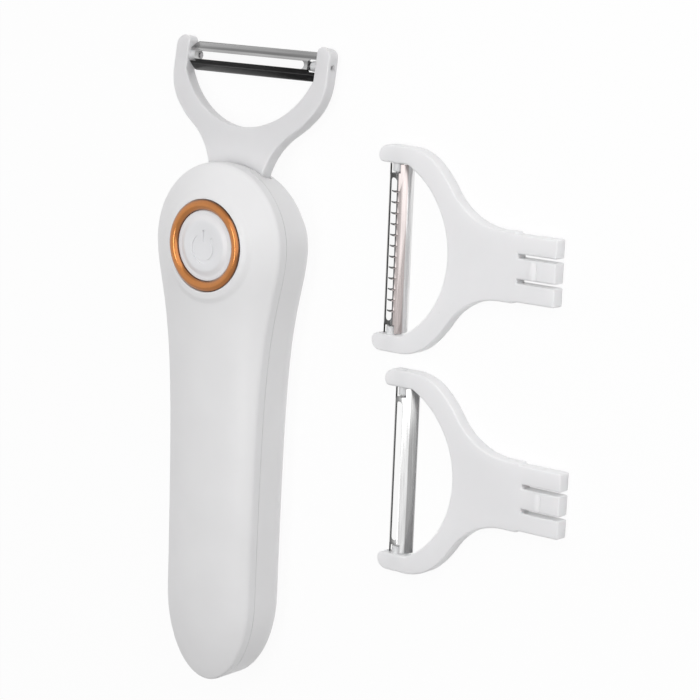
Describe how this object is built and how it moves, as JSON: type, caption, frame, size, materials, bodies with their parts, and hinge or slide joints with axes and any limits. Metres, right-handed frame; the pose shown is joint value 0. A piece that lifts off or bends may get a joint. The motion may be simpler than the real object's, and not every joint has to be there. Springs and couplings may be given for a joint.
{
  "type": "vibrating hand peeler",
  "caption": "Battery-powered vibrating hand peeler with a ringed push button, a pull-out Y-fork with a swivelling slotted blade, and spare blade heads beside it.",
  "frame": {"origin": "the point of the flat back that lies under the push button's axis", "axes": "+Y along the handle towards the blade, +Z out of the button face (the peeler lies on its back), +X to the right"},
  "size_m": [0.1632, 0.2165, 0.0272],
  "materials": {
    "shell": "smooth satin-gloss white moulding",
    "button": "smooth satin-gloss white moulding",
    "fork": "smooth satin-gloss white moulding",
    "copper_trim": "satin copper-coloured plating",
    "blade": "ground stainless sheet",
    "steel": "plain steel",
    "screw": "zinc-plated",
    "inner_plastic": "plain inner moulding",
    "dark_plastic": "black moulding",
    "board": "green solder mask",
    "magnet": "sintered ferrite",
    "brass": "turned brass",
    "winding": "laminated core with enamelled copper wire",
    "cell": "cell in a shrink sleeve",
    "lead": "stranded wire with soft insulation"
  },
  "bodies": {
    "handle": {"front_cover": "shell", "rear_cover": "shell", "case_screws": "screw", "accent_ring": "copper_trim", "tact_switch": "steel", "control_board": "board", "board_parts": "dark_plastic", "board_screws": "screw", "head_socket": "inner_plastic", "socket_screws": "screw", "motor_can": "steel", "motor_magnets": "magnet", "motor_bush": "brass", "motor_end_cap": "dark_plastic", "motor_clamp": "inner_plastic", "clamp_screws": "screw", "battery_cell": "cell", "battery_tray": "inner_plastic", "charge_board": "board", "charge_socket": "steel", "motor_leads": "lead", "battery_leads": "lead", "charge_leads": "lead"},
    "button": {"power_button": "button", "tact_plunger": "dark_plastic"},
    "rotor": {"motor_shaft": "steel", "armature": "winding", "eccentric_weight": "brass"},
    "head": {"peeler_fork": "fork"},
    "blade": {"peeler_blade": "blade", "peeler_pins": "blade"},
    "julienne_head": {"julienne_fork": "fork"},
    "julienne_swivel_blade": {"julienne_blade": "blade", "julienne_pins": "blade"},
    "spare_head": {"spare_fork": "fork"},
    "spare_swivel_blade": {"spare_blade": "blade", "spare_pins": "blade"}
  },
  "joints": [
    {"name": "button_press", "type": "slide", "parent": "handle", "child": "button", "axis": [0, 0, -1], "range_m": [0, 0.0006], "stiffness_N_per_m": 2500, "springref_m": -0.0002},
    {"name": "motor_spin", "type": "hinge", "parent": "handle", "child": "rotor", "pos_m": [0, -0.045, 0.01055], "axis": [0, 1, 0], "continuous": true},
    {"name": "head_pull", "type": "slide", "parent": "handle", "child": "head", "axis": [0, 0.9877, -0.1564], "range_m": [0, 0.035]},
    {"name": "blade_swivel", "type": "hinge", "parent": "head", "child": "blade", "pos_m": [0, 0.05979, 0.00381], "axis": [1, 0, 0], "range_deg": [-25, 25]},
    {"name": "julienne_lift", "type": "slide", "parent": "handle", "child": "julienne_head", "axis": [0, 0, 1], "range_m": [0, 0.06]},
    {"name": "julienne_swivel", "type": "hinge", "parent": "julienne_head", "child": "julienne_swivel_blade", "pos_m": [0.0606, 0.0043, 0.0024], "axis": [0, 1, 0], "range_deg": [-25, 25]},
    {"name": "spare_lift", "type": "slide", "parent": "handle", "child": "spare_head", "axis": [0, 0, 1], "range_m": [0, 0.06]},
    {"name": "spare_swivel", "type": "hinge", "parent": "spare_head", "child": "spare_swivel_blade", "pos_m": [0.0667, -0.0675, 0.0024], "axis": [0, 1, 0], "range_deg": [-25, 25]}
  ]
}
